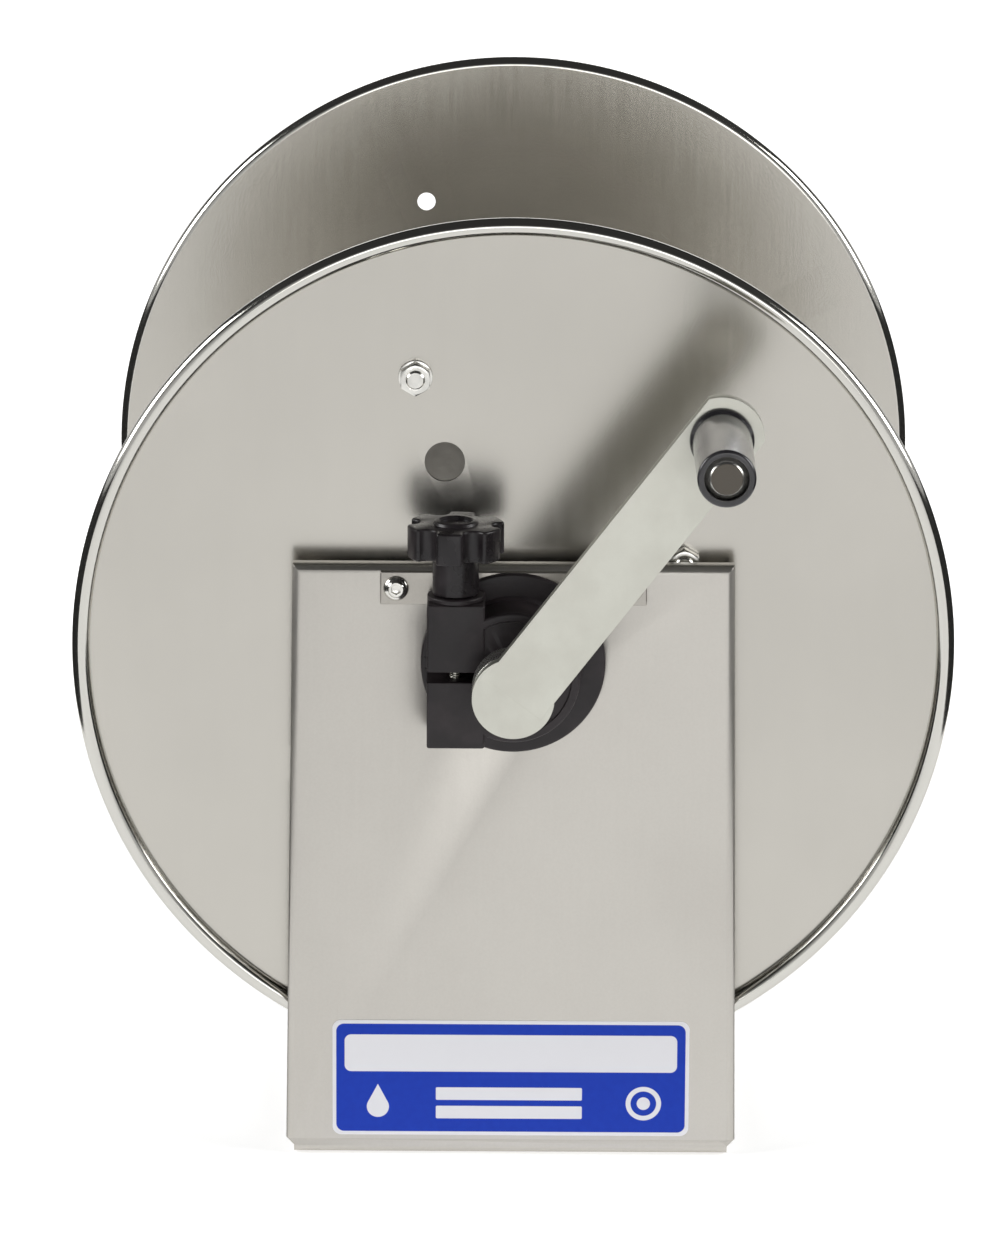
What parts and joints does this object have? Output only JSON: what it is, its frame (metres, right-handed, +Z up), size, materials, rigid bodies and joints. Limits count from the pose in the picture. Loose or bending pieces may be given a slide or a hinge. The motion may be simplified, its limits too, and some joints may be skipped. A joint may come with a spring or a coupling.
{
  "type": "hose reel",
  "caption": "Bare hand-crank hose reel: rolled-rim discs and a drum on an axle between sheet uprights, with clamp drag brake, crank with turning grip and inlet swivel.",
  "frame": {"origin": "centre of the four base bolt holes, on the floor under the middle of the drum", "axes": "+X across the reel, +Y along the axle from the crank to the inlet swivel, +Z up"},
  "size_m": [0.394, 0.6438, 0.429],
  "materials": {
    "stainless_sheet": "satin rolled stainless sheet",
    "crank_steel": "tumbled stainless bar",
    "turned_steel": "turned stainless",
    "bright_fasteners": "bright stainless fasteners",
    "black_moulding": "black moulded nylon, semi-matte",
    "gloss_grip": "glossy black plastic",
    "seal_rubber": "black rubber",
    "blue_label": "printed vinyl label, no lettering"
  },
  "bodies": {
    "frame": {"base_pan": "stainless_sheet", "front_upright": "stainless_sheet", "rear_upright": "stainless_sheet", "front_strap": "stainless_sheet", "front_strap_screws": "bright_fasteners", "front_strap_nuts": "bright_fasteners", "rear_strap": "stainless_sheet", "rear_strap_screws": "bright_fasteners", "rear_strap_nuts": "bright_fasteners", "brake_bearing": "black_moulding", "brake_nut": "bright_fasteners", "brake_washer": "black_moulding", "rear_bearing": "black_moulding", "name_label": "blue_label"},
    "reel": {"front_disc": "stainless_sheet", "rear_disc": "stainless_sheet", "drum": "stainless_sheet", "front_hub_plate": "stainless_sheet", "rear_hub_plate": "stainless_sheet", "front_drum_bolts": "bright_fasteners", "front_drum_nuts": "bright_fasteners", "rear_drum_bolts": "bright_fasteners", "rear_drum_nuts": "bright_fasteners", "rim_bolt": "bright_fasteners", "rim_washer": "bright_fasteners", "rim_nut": "bright_fasteners", "axle": "turned_steel", "axle_collars": "turned_steel", "collar_set_screws": "bright_fasteners", "snap_ring": "bright_fasteners", "riser_pipe": "turned_steel", "outlet_elbow": "turned_steel", "crank_collar": "turned_steel", "crank_set_screw": "bright_fasteners", "crank_lever": "crank_steel", "grip_pin": "turned_steel", "grip_nut": "bright_fasteners"},
    "grip": {"grip_sleeve": "gloss_grip"},
    "brake_knob": {"brake_knob": "black_moulding", "brake_stud": "bright_fasteners"},
    "inlet_swivel": {"swivel_barrel": "turned_steel", "swivel_seals": "seal_rubber", "swivel_elbow": "turned_steel"}
  },
  "joints": [
    {"name": "reel_spin", "type": "hinge", "parent": "frame", "child": "reel", "pos_m": [0, 0, 0.232], "axis": [0, 1, 0], "continuous": true},
    {"name": "grip_spin", "type": "hinge", "parent": "reel", "child": "grip", "pos_m": [0.08929, -0.31, 0.34878], "axis": [0, 1, 0], "continuous": true},
    {"name": "brake_knob_turn", "type": "hinge", "parent": "frame", "child": "brake_knob", "pos_m": [-0.0255, -0.2318, 0.29], "axis": [0, 0, 1], "range_deg": [-60, 360]},
    {"name": "inlet_swivel_turn", "type": "hinge", "parent": "frame", "child": "inlet_swivel", "pos_m": [0, 0.25, 0.232], "axis": [0, 1, 0], "continuous": true}
  ]
}
